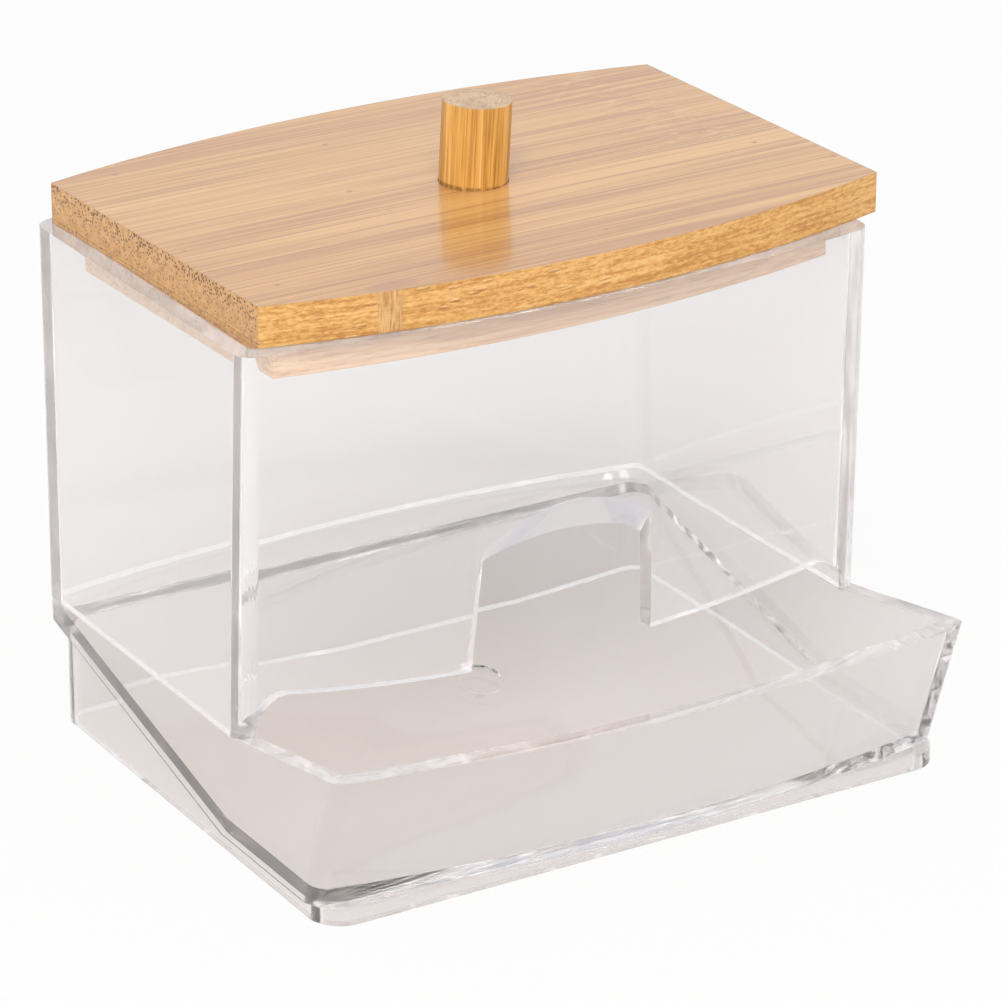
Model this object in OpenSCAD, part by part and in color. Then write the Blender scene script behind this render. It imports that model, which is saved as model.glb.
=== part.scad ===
// Clear swab box: a tall chamber with an arched pick-out window, a ramp that
// feeds an open tray in front, and a loose wooden lid with a dowel knob.
// Millimetres. +Z up, -Y is the tray side. The body is symmetric about X = 0 of
// its own frame; the whole object is then moved so that the centre of its plan
// box is at X = Y = 0. The resting face of the skirt is Z = 0.

/* [Chamber walls] */
// Width over the side walls at the seam
seam_w = 101.2; // [91:0.1:111]
// How far each side wall leans in from the seam to the rim
side_lean = 0.8; // [0:0.05:2]
// Depth between the corners at the seam
seam_d = 58; // [52:0.1:64]
// How far front and back stand out at the rim
end_lean = 1.35; // [0:0.05:3]
// Height of the seam between the two mouldings
seam_z = 18.3; // [16:0.1:20]
// Height of the rim
rim_z = 73.95; // [66:0.05:82]
// Bulge of the front wall at the rim
rim_bulge = 4.45; // [2:0.05:6]
// Bulge of the front wall at the seam
seam_bulge = 0.6; // [0.2:0.1:3]
// Bulge of the back wall
back_bulge = 4.45; // [2:0.05:6]
// Wall thickness of the chamber
wall = 2.7; // [2:0.1:3.5]
// Outer radius of the upright corners
corner_r = 2.75; // [1.5:0.05:4]
// Inner radius of the upright corners
inner_r = 1.2; // [0.6:0.1:2]

/* [Window and arch] */
// Height of the window corners
window_top = 24; // [22:0.1:26]
// Radius of the window corners
window_r = 5; // [3:0.5:6]
// Lowest point of the front wall beside the arch
sill_z = 20.2; // [19.5:0.1:22]
// Radius of the bowed lower edge of the front wall
sill_bow = 250; // [150:5:400]
// Width of the arch at its feet
arch_foot = 29.4; // [20:0.2:36]
// Width of the arch at its shoulders
arch_w = 27; // [18:0.2:34]
// Crown height of the arch on the outer face
arch_top = 44.1; // [38:0.1:50]
// Crown radius of the arch on the outer face
arch_r = 25; // [15:0.5:40]
// Height of the free edge on the inner face
arch_in = 33.6; // [30:0.1:38]
// Corner radius of the arch
arch_corner = 4; // [2:0.5:6]
// Thickness left at the free edge of the arch
arch_land = 0.5; // [0.3:0.1:1.2]

/* [Tray and ramp] */
// Depth from the body middle to the tray front corners, at the floor
tray_low = 48.5; // [43:0.1:54]
// Depth from the body middle to the tray front corners, at the rim
tray_high = 55.75; // [50:0.05:61]
// How far the tray front stands in from the seam at each side
tray_in = 0.2; // [0:0.05:1]
// Bulge of the tray front
tray_bulge = 5.25; // [2:0.05:7]
// Height of the tray front rim
tray_z = 23.3; // [21:0.1:26]
// Wall thickness of the tray
tray_wall = 2.9; // [2:0.1:3.5]
// Thickness of floor and ramp
floor_t = 2.3; // [1.6:0.1:3]
// Underside of the tray floor
floor_z = 2.3; // [2:0.1:4]
// Where the ramp starts, behind it the floor climbs
ramp_y = -23.5; // [-28:0.5:-18]
// Climb of the ramp in degrees
ramp_angle = 13.8; // [10:0.1:17]
// Where the side rims start to climb
climb_y = -27; // [-29:0.5:-22]
// Diameter of the gate disc on the ramp
gate_d = 6.8; // [4:0.1:9]
// Depth of the gate disc
gate_h = 0.5; // [0.3:0.1:0.9]
// Gate disc, from the middle in X
gate_x = -1; // [-3:0.1:3]
// Gate disc, from the middle in Y
gate_y = -9.2; // [-12:0.1:-6]

/* [Skirt] */
// How far the skirt stands in from the seam at each side
skirt_in = 0.5; // [0.2:0.1:2]
// Front of the skirt
skirt_front = -52; // [-56:0.1:-46]
// Back of the skirt
skirt_back = 27.3; // [24:0.1:30]
// Corner radius of the skirt
skirt_r = 5; // [3:0.1:7]
// Wall thickness of the skirt
skirt_t = 2.5; // [1.8:0.1:3.5]

/* [Lid] */
// Width of the board
board_w = 100; // [90:0.1:110]
// Depth of the board between its corners
board_d = 57.3; // [50:0.1:64]
// Thickness of the board
board_t = 5.85; // [5:0.05:7]
// Bulge of the board front
board_front = 7; // [4:0.1:9]
// Bulge of the board back
board_back = 6.15; // [4:0.05:9]
// Gap kept between the rim and the board
seat_gap = 0.05; // [0.05:0.05:0.3]
// Board as it lies, from the middle in X
lid_x = 3.13; // [-4:0.01:4]
// Board as it lies, from the middle in Y
lid_y = 1.73; // [-3:0.01:3]
// Board as it lies, turned by degrees
lid_turn = 1.5; // [-2:0.1:2]
// Room between the lip plate and the side walls
lip_gap = 2.7; // [2:0.1:4]
// Room between the lip plate and the front and back walls
lip_room = 3.95; // [3.8:0.05:6]
// Bulge of the lip plate, front and back
lip_bulge = 4.8; // [3:0.1:5]
// Height of the lip plate
lip_t = 4.4; // [3:0.1:6]
// Lip plate, from the board middle in X
lip_x = -3.5; // [-4:0.1:4]
// Lip plate, from the board middle in Y
lip_y = -4.1; // [-4.2:0.1:3]
// Diameter of the knob
knob_d = 9.8; // [8:0.1:12]
// Height of the knob over the board
knob_h = 11.7; // [8:0.1:15]
// Depth of the knob in its bore
knob_seat = 3; // [2:0.1:4]
// Lean of the knob in degrees
knob_lean = 3; // [0:0.1:4]
// Knob foot, from the board middle in X
knob_x = 0.5; // [-4:0.1:4]
// Knob foot, from the board middle in Y
knob_y = -1.3; // [-4:0.1:4]
// Clearance of the knob in its bore, on the diameter
knob_fit = 0.1; // [0.05:0.05:0.4]

/* [Hidden] */
$fn = 64;
eps = 0.01;
over = 1;
far = 40;
arc_n = 24;
corner_n = 8;
seam_half = seam_w / 2;
rim_half = seam_half - side_lean;
rim_d = seam_d + 2 * end_lean;
lip_w = 2 * (rim_half - wall - lip_gap);
lip_d = rim_d - 2 * (wall + lip_room);
window_back = -seam_d / 2 + wall + inner_r + over;
gate_top = floor_z + (gate_y - ramp_y) * tan(ramp_angle) + (floor_t - gate_h) / cos(ramp_angle);
board_z = rim_z + seat_gap;
board_top = board_z + board_t;
// radius of an arc over a chord of half length h with rise s
function arc_radius(h, s) = (h * h + s * s) / (2 * s);
board_back_r = arc_radius(board_w / 2, board_back);
// plan box of the whole object, from the body middle
box_right = lid_x + board_w / 2 * cos(lid_turn) + board_d / 2 * sin(lid_turn);
box_back = lid_y + (board_d / 2 + board_back - board_back_r) * cos(lid_turn) + board_back_r;
box_front = tray_high + tray_bulge;
x_mid = (box_right - seam_half) / 2;
y_mid = (box_back - box_front) / 2;

// points of one bulged end with its two rounded corners, from -X to +X, bulging to -Y
function end_points(half, y, rise, r) =
    let (big = arc_radius(half, rise), cy = -y - rise + big,
         turn = asin((half - r) / (big - r)),
         ky = cy - (big - r) * cos(turn), kx = half - r)
    concat(
        [for (i = [0 : corner_n]) let (a = 180 + i / corner_n * (90 - turn))
            [-kx + r * cos(a), ky + r * sin(a)]],
        [for (i = [1 : arc_n - 1]) let (a = 270 - turn + i / arc_n * 2 * turn)
            [big * cos(a), cy + big * sin(a)]],
        [for (i = [0 : corner_n]) let (a = 270 + turn + i / corner_n * (90 - turn))
            [kx + r * cos(a), ky + r * sin(a)]]);

// closed outline: front corners at -front, back corners at +back
function outline(half, front, back, front_rise, back_rise, r) =
    concat(end_points(half, front, front_rise, r),
        [for (p = end_points(half, back, back_rise, r)) [-p[0], -p[1]]]);

// solid ruled between two outlines with the same count of points
module loft(low, low_z, high, high_z) {
    n = len(low);
    polyhedron(
        points = concat([for (p = low) [p[0], p[1], low_z]], [for (p = high) [p[0], p[1], high_z]]),
        faces = concat(
            [[for (i = [0 : n - 1]) i]],
            [for (i = [0 : n - 1]) [i, n + i, (i + 1) % n]],
            [for (i = [0 : n - 1]) [n + i, n + (i + 1) % n, (i + 1) % n]],
            [[for (i = [n - 1 : -1 : 0]) n + i]]));
}

// chamber block from the seam to the rim, each side moved in by t, both ends longer by extra
module chamber_block(t, r, extra) {
    loft(outline(seam_half - t, seam_d / 2 - t, seam_d / 2 - t, seam_bulge, back_bulge, r), seam_z - extra,
        outline(rim_half - t, rim_d / 2 - t, rim_d / 2 - t, rim_bulge, back_bulge, r), rim_z + extra);
}

// front view of the arch: feet, shoulders and crown
module arch_view(crown, crown_r) {
    shoulder = crown - arch_corner;
    intersection() {
        polygon([[-arch_foot / 2, seam_z], [arch_foot / 2, seam_z],
            [arch_w / 2, shoulder], [arch_w / 2, crown + over],
            [-arch_w / 2, crown + over], [-arch_w / 2, shoulder]]);
        union() {
            translate([-arch_foot, 0]) square([2 * arch_foot, shoulder]);
            intersection() {
                translate([0, crown - crown_r]) circle(crown_r, $fn = 160);
                hull() for (s = [-1, 1])
                    translate([s * (arch_w / 2 - arch_corner), shoulder - over])
                        circle(arch_corner + over, $fn = 96);
            }
        }
    }
}

// cutter that slopes from the outer arch down to the lower free edge
module arch_cut() {
    outer_y = -rim_d / 2 - rim_bulge / 2 + over / 2;
    inner_y = -seam_d / 2 - seam_bulge - rim_bulge / 4 + wall - arch_land;
    hull() {
        translate([0, outer_y, 0]) rotate([90, 0, 0]) linear_extrude(far / 2) arch_view(arch_top, arch_r);
        translate([0, inner_y + arch_land + 2 * over, 0]) rotate([90, 0, 0])
            linear_extrude(arch_land + 2 * over) arch_view(arch_in, 3 * arch_r);
    }
}

// front view of the full-width window under the front wall
module window_view() {
    half = seam_half - wall;
    difference() {
        hull() {
            translate([-half, seam_z - over]) square([2 * half, over]);
            for (s = [-1, 1]) translate([s * (half - window_r), window_top - window_r])
                circle(window_r);
        }
        translate([0, sill_z + sill_bow]) circle(sill_bow, $fn = 720);
    }
}

module box_sleeve() {
    color([0.93, 0.94, 0.95, 0.3])
    difference() {
        chamber_block(0, corner_r, 0);
        chamber_block(wall, inner_r, 2 * eps);
        translate([0, window_back, 0]) rotate([90, 0, 0]) linear_extrude(far) window_view();
        arch_cut();
    }
}

// side profile of floor and ramp, lifted by z: everything above it
module above_ramp(z) {
    run = far + back_bulge;
    polygon([[-2 * far, floor_z + z], [ramp_y, floor_z + z],
        [ramp_y + run + far / 2, floor_z + z + (run + far / 2) * tan(ramp_angle)],
        [ramp_y + run + far / 2, 2 * far], [-2 * far, 2 * far]]);
}

// side profile under the rims of the base
module under_rims() {
    polygon([[-2 * far, -over], [2 * far, -over], [2 * far, seam_z], [climb_y, seam_z],
        [-tray_high, tray_z - eps], [-box_front - over, tray_z], [-2 * far, tray_z]]);
}

// a side profile drawn in Y and Z, run from -half to +half along X
module across(half) {
    translate([half, 0, 0]) rotate([90, 0, -90]) mirror([1, 0, 0]) linear_extrude(2 * half) children();
}

// base block, each side moved in by t at the chamber and f at the tray front
module base_block(t, f, r) {
    lean = over * (tray_high - tray_low) / (tray_z - floor_z);
    loft(outline(seam_half - t, tray_low - f - lean, seam_d / 2 - t, tray_bulge, back_bulge, r),
        floor_z - over,
        outline(seam_half - tray_in - t, tray_high - f + lean, seam_d / 2 - t, tray_bulge, back_bulge, r),
        tray_z + over);
}

// plan of the skirt, moved in by t
module skirt_view(t) {
    r = skirt_r - t;
    hull() for (x = [-1, 1], y = [skirt_front + skirt_r, skirt_back - skirt_r])
        translate([x * (seam_half - skirt_in - skirt_r), y]) circle(r);
}

module base_tray() {
    color([0.92, 0.93, 0.95, 0.3]) {
        difference() {
            intersection() {
                base_block(0, 0, corner_r);
                across(seam_w) above_ramp(0);
                across(seam_w) under_rims();
            }
            intersection() {
                base_block(wall, tray_wall, inner_r);
                across(seam_w) above_ramp(floor_t);
            }
            translate([gate_x, gate_y, gate_top]) rotate([ramp_angle, 0, 0])
                cylinder(h = over + gate_h, d = gate_d);
        }
        difference() {
            linear_extrude(seam_z) difference() {
                skirt_view(0);
                skirt_view(skirt_t);
            }
            across(seam_w) above_ramp(eps);
        }
    }
}

// moves a child from the board middle to where the lid lies
module on_lid() {
    translate([lid_x, lid_y, 0]) rotate([0, 0, lid_turn]) children();
}

// board or lip outline: two large arcs over straight sides
module bowed(w, d, front_rise, back_rise) {
    fr = arc_radius(w / 2, front_rise);
    br = arc_radius(w / 2, back_rise);
    intersection() {
        translate([-w / 2, -d]) square([w, 2 * d]);
        translate([0, fr - d / 2 - front_rise]) circle(fr, $fn = 360);
        translate([0, d / 2 + back_rise - br]) circle(br, $fn = 360);
    }
}

// leaning dowel: extra on its diameter, low and high from the board top
module dowel(extra, low, high) {
    translate([knob_x, knob_y, board_top]) rotate([0, knob_lean, 0])
        translate([0, 0, -low]) cylinder(h = low + high, d = knob_d + extra, $fn = 96);
}

module lid_board() {
    color([0.86, 0.73, 0.53])
    on_lid() difference() {
        translate([0, 0, board_z]) linear_extrude(board_t)
            bowed(board_w, board_d, board_front, board_back);
        dowel(knob_fit, knob_seat, far);
    }
}

module lid_lip() {
    color([0.88, 0.76, 0.6])
    on_lid() translate([lip_x, lip_y, board_z - lip_t]) linear_extrude(lip_t)
        bowed(lip_w, lip_d, lip_bulge, lip_bulge);
}

module lid_knob() {
    color([0.8, 0.64, 0.42])
    on_lid() dowel(0, knob_seat, knob_h);
}

translate([-x_mid, -y_mid, 0]) {
    box_sleeve();
    base_tray();
    lid_board();
    lid_lip();
    lid_knob();
}
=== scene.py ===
"""Clear plastic swab box with a loose bamboo lid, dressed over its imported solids."""

import math
from collections import namedtuple

import bmesh
import bpy
from mathutils import Matrix, Vector


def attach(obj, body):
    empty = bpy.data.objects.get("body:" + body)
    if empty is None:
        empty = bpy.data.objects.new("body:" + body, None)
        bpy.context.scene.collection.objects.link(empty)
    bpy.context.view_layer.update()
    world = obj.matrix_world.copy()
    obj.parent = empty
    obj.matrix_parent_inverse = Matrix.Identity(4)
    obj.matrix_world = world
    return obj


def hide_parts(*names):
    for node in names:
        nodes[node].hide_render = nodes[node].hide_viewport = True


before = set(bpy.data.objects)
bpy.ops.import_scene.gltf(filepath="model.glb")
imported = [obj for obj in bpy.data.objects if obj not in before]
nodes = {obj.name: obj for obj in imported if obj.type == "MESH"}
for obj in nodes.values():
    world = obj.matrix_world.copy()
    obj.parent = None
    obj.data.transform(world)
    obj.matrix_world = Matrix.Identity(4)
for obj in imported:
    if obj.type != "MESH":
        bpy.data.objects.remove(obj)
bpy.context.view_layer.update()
MM = 0.001

# Where things lie, in metres, from the same sizes as the solids; PLAN_MIDDLE is the middle of the
# outline in the frame in which the walls below are stated
LID_MIDDLE = (1.499 * MM, 13.936 * MM)
LID_TURN = math.radians(1.5)
BOARD_TOP = 79.85 * MM
KNOB_LEAN = math.radians(3)
KNOB_FOOT = (2.033 * MM, 12.649 * MM)
PLAN_MIDDLE = (1.631 * MM, -12.206 * MM)
SEAM_GAP = 0.05 * MM
FLOOR_GAP = 0.05 * MM
EASED_EDGE = 0.35 * MM

# Sizes of the clear walls, in millimetres, as in the solids
SEAM_Z, SEAM_HALF, SEAM_CHORD, SEAM_BULGE = 18.3, 50.6, 29, 0.6
RIM_Z, RIM_HALF, RIM_CHORD, RIM_BULGE = 73.95, 49.8, 30.35, 4.45
TRAY_LOW_Z, TRAY_LOW_CHORD = 1.3, 48.155
TRAY_HIGH_Z, TRAY_HIGH_HALF, TRAY_HIGH_CHORD = 24.3, 50.4, 56.095
BACK_BULGE, TRAY_BULGE = 4.45, 5.25
WALL, TRAY_WALL = 2.7, 2.9

# How the shells' normals are found: lengths in millimetres that count as nothing, how far a corner
# may miss its wall, the least cosine between a face and its wall, the angle past which an edge
# stays crisp, and the area in square millimetres that even a sliver counts for
MERGED, DEGENERATE = 0.003, 0.001
WALL_MISS, WALL_COSINE = 0.06, 0.97
CRISP_ANGLE = math.radians(24)
SLIVER_AREA = 1e-4

# How much of the light goes through each moulding, how far rays run on inside the walls, and the
# white share of the floor for camera rays and for mirror and transmission rays
CHAMBER_CLEARNESS, TRAY_CLEARNESS = 0.88, 0.99
WALL_BOUNCES, SHADOW_BOUNCES = 64, 24
FLOOR_WHITE, FLOOR_WHITE_MIRRORED = 0.9, 0.3

# Main tones, as linear red, green and blue
CHAMBER_BODY = (0.985, 0.985, 0.992)
TRAY_BODY = (0.910, 0.900, 0.900)
PLASTIC_SHADE = (0.92, 0.90, 0.895)
TOP_TONE = (0.570, 0.290, 0.085)
SIDE_TONE = (0.720, 0.375, 0.100)
LIP_TONE = (0.930, 0.570, 0.270)
KNOB_TONE = (0.840, 0.460, 0.110)
FLOOR_TONE = (0.800, 0.775, 0.765)
HORIZON_TONE = (0.60, 0.62, 0.70)
BUNDLE_TONE = (0.17, 0.070, 0.025)


# Camera

def add_camera(azimuth, elevation, roll, distance, aim, focal_px, image_px=1001):
    """Pinhole camera looking at aim; the lens comes from the focal length in pixels."""
    a, e, r = (math.radians(v) for v in (azimuth, elevation, roll))
    back = Vector((math.sin(a) * math.cos(e), -math.cos(a) * math.cos(e), math.sin(e)))
    side = Vector((math.cos(a), math.sin(a), 0))
    up = back.cross(side)
    side, up = side * math.cos(r) + up * math.sin(r), up * math.cos(r) - side * math.sin(r)
    camera = bpy.data.objects.new("camera", bpy.data.cameras.new("camera"))
    bpy.context.scene.collection.objects.link(camera)
    turn = Matrix((side, up, back)).transposed().to_4x4()
    camera.matrix_world = Matrix.Translation(Vector(aim) + back * distance) @ turn
    camera.data.sensor_width = 36
    camera.data.lens = focal_px / image_px * 36
    camera.data.clip_start, camera.data.clip_end = 0.05, 20
    bpy.context.scene.camera = camera


add_camera(azimuth=-31.15, elevation=23.03, roll=0.19, distance=699.47 * MM,
           aim=(-1.16 * MM, -0.21 * MM, 36.65 * MM), focal_px=4984.1)


# Shader maths

class Socket:
    """An output socket that adds Math nodes when it is calculated with."""

    def __init__(self, material, value):
        self.material, self.value = material, value

    def math(self, operation, *others):
        """The result of a Math node with this socket first."""
        return self.material.node("ShaderNodeMath", {"operation": operation},
                                  dict(enumerate((self, *others))))[0]

    def __add__(self, other): return self.math("ADD", other)
    def __radd__(self, other): return self.math("ADD", other)
    def __sub__(self, other): return self.math("SUBTRACT", other)
    def __rsub__(self, other): return self.math("MULTIPLY_ADD", -1.0, other)
    def __mul__(self, other): return self.math("MULTIPLY", other)
    def __rmul__(self, other): return self.math("MULTIPLY", other)
    def __truediv__(self, other): return self.math("DIVIDE", other)
    def __pow__(self, other): return self.math("POWER", other)

    def between(self, low, high):
        """0 below low, 1 above high, smooth in between."""
        return self.material.node("ShaderNodeMapRange", {"interpolation_type": "SMOOTHSTEP"},
                                  {"Value": self, "From Min": low, "From Max": high})[0]


class Finish:
    """One node material with a Principled surface, and short ways to add nodes to it."""

    def __init__(self, name):
        self.data = bpy.data.materials.new(name)
        self.data.use_nodes = True
        self.tree = self.data.node_tree
        self.surface = self.tree.nodes["Principled BSDF"]
        self.output = self.tree.nodes["Material Output"]

    def node(self, kind, settings=None, sockets=None):
        """Adds a node, sets it up, fills its sockets, and returns its outputs as Sockets."""
        made = self.tree.nodes.new(kind)
        for key, value in (settings or {}).items():
            if key == "stops":
                ramp = made.color_ramp
                while len(ramp.elements) < len(value):
                    ramp.elements.new(0.5)
                for element, (place, colour) in zip(ramp.elements, value):
                    element.position, element.color = place, (*colour, 1)
            else:
                setattr(made, key, value)
        for key, value in (sockets or {}).items():
            self.fill(made.inputs[key], value)
        return [Socket(self, out) for out in made.outputs]

    def fill(self, socket, value):
        """Links value to the socket, or sets the socket to it where it is a plain value."""
        if isinstance(value, Socket):
            value = value.value
        if isinstance(value, bpy.types.NodeSocket):
            self.tree.links.new(value, socket)
        elif socket.type == "RGBA":
            socket.default_value = (*value, 1) if len(value) == 3 else value
        else:
            socket.default_value = value

    def set(self, **sockets):
        """Fills sockets of the Principled surface; underscores stand for spaces."""
        for key, value in sockets.items():
            self.fill(self.surface.inputs[key.replace("_", " ")], value)

    def place(self, middle=(0, 0, 0), turn=(0, 0, 0), scale=(1, 1, 1)):
        """Object coordinates moved so that middle is the origin, turned, then scaled."""
        coords = self.node("ShaderNodeTexCoord")[3]
        moved = self.node("ShaderNodeVectorMath", {"operation": "SUBTRACT"},
                          {0: coords, 1: middle})[0]
        turned = self.node("ShaderNodeMapping", {"vector_type": "TEXTURE"},
                           {"Vector": moved, "Rotation": turn})[0]
        return self.stretch(turned, *scale)

    def place_mm(self, middle, turn):
        """The same in millimetres."""
        return self.place(middle, turn, (1 / MM, 1 / MM, 1 / MM))

    def stretch(self, vector, *scale):
        """The vector with each of its parts multiplied by its own scale."""
        return self.node("ShaderNodeVectorMath", {"operation": "MULTIPLY"},
                         {0: vector, 1: scale})[0]

    def noise(self, vector, scale=1.0, detail=3.0, rough=0.5, warp=0.0):
        """Soft noise, about 0.3 to 0.7."""
        return self.node("ShaderNodeTexNoise", {},
                         {"Vector": vector, "Scale": scale, "Detail": detail, "Roughness": rough,
                          "Distortion": warp})[0]

    def cells(self, vector):
        """Distance to the nearest of scattered points, and a number of its own for each point."""
        return self.node("ShaderNodeTexVoronoi", {}, {"Vector": vector, "Scale": 1.0})[:2]

    def split(self, vector):
        """X, Y and Z of the vector."""
        return self.node("ShaderNodeSeparateXYZ", {}, {0: vector})[:3]

    def faces(self):
        """How far a face looks along X, Y and Z, as sizes without sign."""
        return [part.math("ABSOLUTE") for part in self.split(self.node("ShaderNodeTexCoord")[1])]

    def blend(self, amount, first, second):
        """Colour that goes from first to second as amount goes from 0 to 1."""
        made = self.tree.nodes.new("ShaderNodeMix")
        made.data_type = "RGBA"
        for index, value in ((0, amount), (6, first), (7, second)):
            self.fill(made.inputs[index], value)
        return Socket(self, made.outputs[2])

    def ramp(self, amount, *stops):
        """Colour looked up by amount between stops of (amount, colour)."""
        return self.node("ShaderNodeValToRGB", {"stops": stops}, {0: amount})[0]

    def eased(self, radius=EASED_EDGE):
        """Normals that round the crisp edges a little."""
        return self.node("ShaderNodeBevel", {"samples": 4}, {"Radius": radius})[0]

    def shared(self, amount, first, second):
        """Mix of two surfaces, put out as the material's own."""
        mixed = self.node("ShaderNodeMixShader", {}, {0: amount, 1: first, 2: second})[0]
        self.fill(self.output.inputs["Surface"], mixed)

    def bump(self, height, distance, strength=1.0, normal=None):
        """Normals of a relief of that height, over normal where one is given."""
        sockets = {"Height": height, "Distance": distance, "Strength": strength}
        if normal is not None:
            sockets["Normal"] = normal
        return self.node("ShaderNodeBump", {}, sockets)[0]


# Materials

def clear_plastic(name, body, clearness):
    """Polished clear styrene: a faint grey body, handling haze and soft moulding waves.

    Shadows and scattered light pass straight through, tinted, so that none is counted twice.
    """
    f = Finish(name)
    haze = f.noise(f.place(), 60, 4, 0.6).between(0.45, 0.8)
    flow = f.noise(f.place(scale=(1, 1, 0.25)), 45, 2, 0.5)
    f.set(Base_Color=body, Roughness=haze * 0.03 + 0.005, IOR=1.585,
          Transmission_Weight=clearness, Coat_Weight=0.5, Coat_Roughness=0.01,
          Normal=f.bump(flow, 0.06 * MM))
    shade = f.node("ShaderNodeBsdfTransparent", {}, {"Color": PLASTIC_SHADE})[0]
    shadow, diffuse = f.node("ShaderNodeLightPath")[1:3]
    f.shared(shadow.math("MAXIMUM", diffuse), f.surface.outputs[0], shade)
    return f.data


def bamboo_board():
    """Lacquered bamboo: streaks along X, bundle ends on short sides, dashes on long ones."""
    f = Finish("bamboo_board")
    at = f.place_mm((*LID_MIDDLE, 0), (0, 0, LID_TURN))
    x, y, z = f.split(at)
    along_x, _, along_z = f.faces()

    # upper face: broad tones, fine streaks, a few long dark lines and small pits
    broad = f.noise(f.stretch(at, 0.006, 0.16, 0.16), 1, 2)
    streak = f.noise(f.stretch(at, 0.02, 1.0, 1.0), 1, 3)
    fine = f.noise(f.stretch(at, 0.05, 3.6, 3.6), 1, 2)
    tone = broad * 0.4 + streak * 0.36 + fine * 0.24
    top = f.ramp(tone, (0.40, (0.43, 0.185, 0.052)), (0.5, TOP_TONE), (0.60, (0.68, 0.375, 0.120)))
    lines = f.noise(f.stretch(at, 0.012, 2.1, 2.1), 1, 1).between(0.62, 0.72)
    top = f.blend(lines * 0.6, top, (0.30, 0.120, 0.045))
    pit, chosen = f.cells(f.stretch(at, 0.16, 0.22, 0.22))
    pits = pit.between(0.10, 0.04) * chosen.between(0.62, 0.64)
    top = f.blend(pits * 0.7, top, (0.20, 0.110, 0.060))
    # the culm's joint, a band of short wavy dashes across the right end of the board
    band = (x - 37.0 + (y - 12.0) * 0.12) / 8.0
    band = (1.0 - band * band).between(0.0, 0.8) * y.between(-9.0, -2.0)
    dash = f.noise(f.stretch(at, 0.22, 0.85, 1), 1, 3, 0.55, 0.5)
    top = f.blend(band * dash.between(0.54, 0.64) * 0.55, top, (0.66, 0.410, 0.190))
    top = f.blend(band * dash.between(0.46, 0.36) * 0.5, top, (0.42, 0.190, 0.075))
    spot = ((x + 31.0) * 0.22) ** 2 + ((y + 31.0) * 0.55) ** 2
    top = f.blend(spot.between(1.2, 0.2) * 0.45, top, (0.36, 0.130, 0.060))

    # short sides: dark bundle ends in a paler ground, coarser near the upper edge
    size, mark = f.cells(f.stretch(at, 0, 1.9, 2.1))
    outer = z.between(76.2, 79.6)
    dots = (size - outer * 0.10).between(0.40, 0.20) * (outer * 0.35 + mark * 0.35 + 0.45)
    ground = f.ramp(f.noise(f.stretch(at, 0.3, 0.8, 0.8), 1, 3), (0.35, (0.62, 0.320, 0.115)),
                    (0.65, (0.76, 0.430, 0.170)))
    ends = f.blend(dots, ground, BUNDLE_TONE)

    # long sides: orange ground with pressed dashes, each with a painted highlight along its upper
    # edge and painted shade just below it, a fibre swirl at the joint, finer to the right
    slant = f.node("ShaderNodeCombineXYZ", {}, {0: x * 0.30, 1: 0.0, 2: z * 1.25 - x * 0.05})[0]
    lift = f.node("ShaderNodeVectorMath", {"operation": "ADD"}, {0: slant, 1: (0, 0, 0.14)})[0]
    coarse = x.between(6.0, -4.0) * 0.8 + 0.2
    marks = []
    for place in (slant, lift):
        near, own = f.cells(place)
        marks.append(near.between(0.34, 0.18) * own.between(0.35, 0.45))
    # each dash less a copy of it moved down: painted highlight on its upper edge, painted shade
    # just below it
    painted_dash_highlight, painted_dash_shade = marks[0] - marks[1], marks[1] - marks[0]
    grain = f.noise(f.stretch(at, 0.9, 1, 2.6), 1, 4, 0.65)
    stripe = f.noise(f.stretch(at, 0.05, 0.3, 1.7), 1, 3)
    side = f.ramp(grain * 0.55 + stripe * 0.45, (0.40, (0.54, 0.235, 0.045)), (0.5, SIDE_TONE),
                  (0.60, (0.85, 0.500, 0.170)))
    swirl = ((x + 32.2) * 0.42).math("ABSOLUTE").between(1.0, 0.5)
    upright = f.noise(f.stretch(at, 2.2, 1, 0.35), 1, 3, 0.6, 0.6)
    side = f.blend(swirl * 0.85, side, f.ramp(upright, (0.35, (0.46, 0.200, 0.050)),
                                             (0.65, (0.78, 0.480, 0.190))))
    calm = coarse * (1.0 - swirl)
    # painted highlight and painted shade of the pressed dashes, as light from above would show
    # them
    side = f.blend(calm * painted_dash_highlight.math("MAXIMUM", 0.0) * 0.75, side, (0.92, 0.640, 0.360))
    side = f.blend(calm * painted_dash_shade.math("MAXIMUM", 0.0) * 0.70, side, (0.30, 0.120, 0.035))

    upper, short_side = along_z.between(0.4, 0.6), along_x.between(0.6, 0.8)
    colour = f.blend(short_side, f.blend(upper, side, top), ends)
    relief = (fine * 0.25 + marks[0] * calm * (1.0 - upper) * 1.2 - lines * 0.3 - pits
              - dots * short_side * 0.6)
    f.set(Base_Color=colour, Roughness=fine * 0.12 + 0.36, Coat_Weight=upper * 0.6 + 0.2,
          Coat_IOR=1.7, Coat_Roughness=0.14, Normal=f.bump(relief, 0.12 * MM, 0.6, f.eased()))
    return f.data


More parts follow.
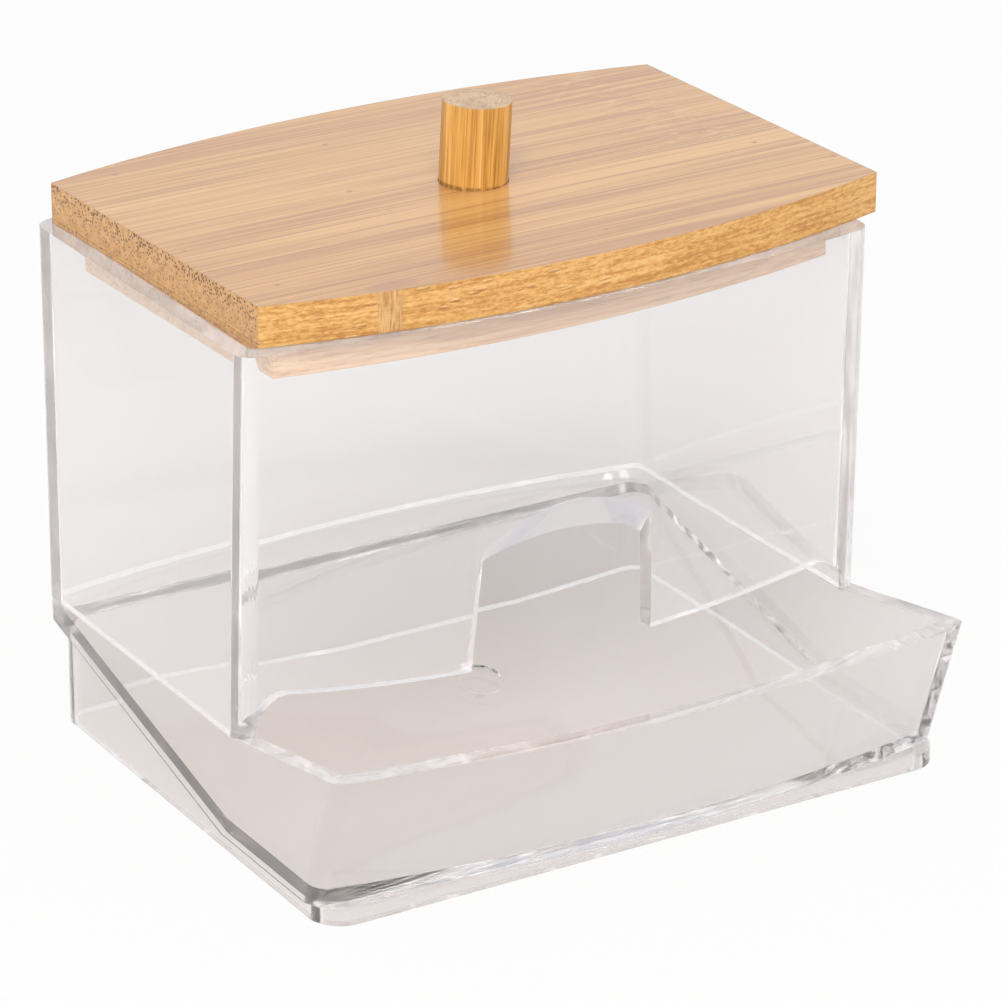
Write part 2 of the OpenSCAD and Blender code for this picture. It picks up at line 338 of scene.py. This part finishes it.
def bamboo_lip():
    """Paler, unlacquered bamboo of the locating plate, striped along X."""
    f = Finish("bamboo_lip")
    at = f.place_mm((*LID_MIDDLE, 0), (0, 0, LID_TURN))
    short_side = f.faces()[0].between(0.6, 0.8)
    stripe = f.noise(f.stretch(at, 0.025, 0.9, 1.5), 1, 3)
    fine = f.noise(f.stretch(at, 0.12, 4, 4.5), 1, 3, 0.6)
    tone = stripe * 0.6 + fine * 0.4
    colour = f.ramp(tone, (0.38, (0.72, 0.370, 0.150)), (0.5, LIP_TONE),
                    (0.62, (0.96, 0.680, 0.380)))
    size, mark = f.cells(f.stretch(at, 0, 1.6, 1.8))
    dots = short_side * size.between(0.34, 0.16) * (mark * 0.4 + 0.4)
    colour = f.blend(dots, colour, (0.24, 0.110, 0.050))
    f.set(Base_Color=colour, Roughness=fine * 0.15 + 0.5, Coat_Weight=0.1,
          Normal=f.bump(tone, 0.12 * MM, 0.6, f.eased()))
    return f.data


def bamboo_knob():
    """Dowel turned along the fibres: upright stripes on its side, bundle ends on its top."""
    f = Finish("bamboo_knob")
    at = f.place_mm((*KNOB_FOOT, BOARD_TOP), (0, KNOB_LEAN, LID_TURN))
    height = f.split(at)[2]
    top = f.faces()[2].between(0.6, 0.8)
    fibre = f.noise(f.stretch(at, 2.4, 2.4, 0.05), 1, 3, 0.65)
    broad = f.noise(f.stretch(at, 0.55, 0.55, 0.02), 1, 2)
    colour = f.ramp(fibre * 0.62 + broad * 0.38, (0.36, (0.44, 0.170, 0.022)),
                    (0.46, (0.66, 0.330, 0.062)), (0.56, KNOB_TONE), (0.66, (0.95, 0.620, 0.240)))
    size, mark = f.cells(f.stretch(at, 1.9, 1.9, 0.0))
    dots = size.between(0.36, 0.18) * (mark * 0.4 + 0.45)
    ground = f.ramp(broad, (0.35, (0.50, 0.320, 0.190)), (0.65, (0.66, 0.450, 0.270)))
    colour = f.blend(top, colour, f.blend(dots, ground, (0.20, 0.120, 0.070)))
    # dark line of glue at the foot
    uneven = f.noise(f.stretch(at, 0.9, 0.9, 0.3), 1, 2)
    foot = height.between(0.45, 0.1) * uneven.between(0.3, 0.6)
    colour = f.blend(foot * 0.8, colour, (0.20, 0.075, 0.020))
    relief = fibre * 0.6 - dots * top * 0.5
    f.set(Base_Color=colour, Roughness=fibre * 0.15 + 0.38, Coat_Weight=0.25, Coat_Roughness=0.2,
          Normal=f.bump(relief, 0.15 * MM, 0.6, f.eased(0.3 * MM)))
    return f.data


# Clear shells

# One end of a bowed wall: its height, half its width, how far its corners stand out, its bulge
Arc = namedtuple("Arc", "z half chord rise")


def bow(half, rise, x):
    """How far an arc of that rise over a chord 2 * half stands out at x, and its slope there."""
    radius = (half * half + rise * rise) / (2 * rise)
    across = math.sqrt(max(radius * radius - x * x, radius * radius / 4))
    return across - radius + rise, -x / across


class Bowed:
    """A bowed wall ruled between a low and a high arc; sign is -1 in front and 1 at the back."""

    def __init__(self, sign, low, high):
        self.sign, self.low, self.high = sign, low, high

    def at(self, x, z):
        """The wall's Y at x and z, and its normal there."""
        low, high = self.low, self.high
        t = (z - low.z) / (high.z - low.z)
        (out0, slope0), (out1, slope1) = (bow(arc.half, arc.rise, x) for arc in (low, high))
        reach0, reach1 = low.chord + out0, high.chord + out1
        across = self.sign * ((1 - t) * slope0 + t * slope1)
        up = self.sign * (reach1 - reach0) / (high.z - low.z)
        y = self.sign * ((1 - t) * reach0 + t * reach1)
        return y, Vector((-across, 1, -up)).normalized()

    def normal(self, place, face_normal):
        """The wall's own normal where place lies on it and the face looks along it, else None."""
        y, normal = self.at(place.x, place.z)
        if abs(place.y - y) > WALL_MISS or abs(face_normal.dot(normal)) < WALL_COSINE:
            return None
        return normal if face_normal.dot(normal) > 0 else -normal


def wall_pair(sign, low, high, thickness=WALL):
    """Outer and inner face of a bowed wall between two side walls."""
    inner = [Arc(arc.z, arc.half - WALL, arc.chord - thickness, arc.rise) for arc in (low, high)]
    return [Bowed(sign, low, high), Bowed(sign, *inner)]


def corner_normal(face, vert, bowed_walls):
    """Mean normal at vert of the faces that run on smoothly from face; large faces lead."""
    place = (vert.co + Vector((*PLAN_MIDDLE, 0))) / MM
    total = Vector()
    for near in vert.link_faces:
        if near.normal.dot(face.normal) < math.cos(CRISP_ANGLE):
            continue
        on_walls = (wall.normal(place, near.normal) for wall in bowed_walls)
        own = next((normal for normal in on_walls if normal), near.normal)
        total += own * (near.calc_area() / MM ** 2 + SLIVER_AREA) ** 2
    return total.normalized()


def shell_copy(node_name, piece_name, material, bowed_walls, lift_below=-1):
    """The node's own shape, merged, with the true normals of its bowed walls and even corners.

    Points below lift_below (mm) rise by the seam gap, so that two clear faces never coincide.
    """
    mesh = nodes[node_name].data.copy()
    mesh.name = piece_name
    shape = bmesh.new()
    shape.from_mesh(mesh)
    bmesh.ops.remove_doubles(shape, verts=shape.verts, dist=MERGED * MM)
    bmesh.ops.dissolve_degenerate(shape, dist=DEGENERATE * MM, edges=shape.edges)
    seam = [vert for vert in shape.verts if vert.co.z < lift_below * MM]
    bmesh.ops.translate(shape, verts=seam, vec=(0, 0, SEAM_GAP))
    shape.faces.ensure_lookup_table()
    normals = [corner_normal(face, corner.vert, bowed_walls)
               for face in shape.faces for corner in face.loops]
    shape.to_mesh(mesh)
    shape.free()
    piece = bpy.data.objects.new(piece_name, mesh)
    bpy.context.scene.collection.objects.link(piece)
    mesh.materials.clear()
    mesh.materials.append(material)
    mesh.shade_smooth()
    mesh.normals_split_custom_set(normals)
    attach(piece, "box")
    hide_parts(node_name)


seam_back = Arc(SEAM_Z, SEAM_HALF, SEAM_CHORD, BACK_BULGE)
rim_back = Arc(RIM_Z, RIM_HALF, RIM_CHORD, BACK_BULGE)
seam_front = Arc(SEAM_Z, SEAM_HALF, SEAM_CHORD, SEAM_BULGE)
rim_front = Arc(RIM_Z, RIM_HALF, RIM_CHORD, RIM_BULGE)
tray_back = [Arc(TRAY_LOW_Z, SEAM_HALF, SEAM_CHORD, BACK_BULGE),
             Arc(TRAY_HIGH_Z, TRAY_HIGH_HALF, SEAM_CHORD, BACK_BULGE)]
tray_front = [Arc(TRAY_LOW_Z, SEAM_HALF, TRAY_LOW_CHORD, TRAY_BULGE),
              Arc(TRAY_HIGH_Z, TRAY_HIGH_HALF, TRAY_HIGH_CHORD, TRAY_BULGE)]
shell_copy("box_sleeve", "chamber_shell",
           clear_plastic("clear_chamber", CHAMBER_BODY, CHAMBER_CLEARNESS),
           wall_pair(-1, seam_front, rim_front) + wall_pair(1, seam_back, rim_back), SEAM_Z + 0.01)
shell_copy("base_tray", "tray_shell", clear_plastic("clear_tray", TRAY_BODY, TRAY_CLEARNESS),
           wall_pair(-1, *tray_front, TRAY_WALL) + wall_pair(1, *tray_back))
for node_name, finish in (("lid_board", bamboo_board), ("lid_lip", bamboo_lip),
                          ("lid_knob", bamboo_knob)):
    nodes[node_name].data.materials.clear()
    nodes[node_name].data.materials.append(finish())


# Stage

def add_floor():
    """Pale warm floor, whiter to the camera than to mirror and transmission rays."""
    mesh = bpy.data.meshes.new("floor")
    shape = bmesh.new()
    bmesh.ops.create_grid(shape, x_segments=1, y_segments=1, size=3)
    shape.to_mesh(mesh)
    shape.free()
    floor = bpy.data.objects.new("floor", mesh)
    bpy.context.scene.collection.objects.link(floor)
    f = Finish("floor")
    f.set(Base_Color=FLOOR_TONE, Roughness=0.9, Specular_IOR_Level=0.1)
    shown = f.node("ShaderNodeEmission", {}, {"Color": (1, 1, 1), "Strength": 1.0})[0]
    rays = f.node("ShaderNodeLightPath")
    camera, glossy, transmission = rays[0], rays[3], rays[6]
    mirrored = glossy.math("MAXIMUM", transmission) * FLOOR_WHITE_MIRRORED
    seen = (camera * FLOOR_WHITE).math("MAXIMUM", mirrored)
    f.shared(seen, f.surface.outputs[0], shown)
    mesh.materials.append(f.data)
    floor.location.z = -FLOOR_GAP


def add_light(name, place, aim, size, power):
    """Round area light at place that shines at aim."""
    lamp = bpy.data.lights.new(name, "AREA")
    lamp.shape, lamp.size, lamp.energy = "DISK", size, power
    made = bpy.data.objects.new(name, lamp)
    bpy.context.scene.collection.objects.link(made)
    made.location = place
    made.rotation_euler = (Vector(place) - Vector(aim)).to_track_quat("Z", "Y").to_euler()


def add_world(strength):
    """Plain white light; mirror images in the plastic fade to a cool grey towards the horizon."""
    world = bpy.data.worlds.new("world")
    bpy.context.scene.world = world
    world.use_nodes = True
    tree = world.node_tree
    link = tree.links.new

    def add(kind):
        return tree.nodes.new("ShaderNode" + kind)

    plain, seen = tree.nodes["Background"], add("Background")
    plain.inputs["Color"].default_value = (1, 1, 1, 1)
    plain.inputs["Strength"].default_value = strength
    coords, parts, ramp = add("TexCoord"), add("SeparateXYZ"), add("ValToRGB")
    horizon, sky = ramp.color_ramp.elements
    horizon.position, sky.position = 0.02, 0.30
    horizon.color = (*HORIZON_TONE, 1)
    link(coords.outputs["Generated"], parts.inputs[0])
    link(parts.outputs[2], ramp.inputs[0])
    link(ramp.outputs[0], seen.inputs["Color"])
    path, either, mix = add("LightPath"), add("Math"), add("MixShader")
    either.operation = "MAXIMUM"
    link(path.outputs["Is Glossy Ray"], either.inputs[0])
    link(path.outputs["Is Transmission Ray"], either.inputs[1])
    for place, source in enumerate((either, plain, seen)):
        link(source.outputs[0], mix.inputs[place])
    link(mix.outputs[0], tree.nodes["World Output"].inputs["Surface"])


add_floor()
add_world(0.65)
add_light("key", place=(-0.5, -0.7, 1.1), aim=(0, 0, 0.03), size=0.8, power=13)
# light runs far along inside the clear walls before it comes out at an edge
paths = bpy.context.scene.cycles
paths.max_bounces = paths.glossy_bounces = paths.transmission_bounces = WALL_BOUNCES
paths.transparent_max_bounces = SHADOW_BOUNCES
bpy.context.scene.view_settings.view_transform = "Standard"
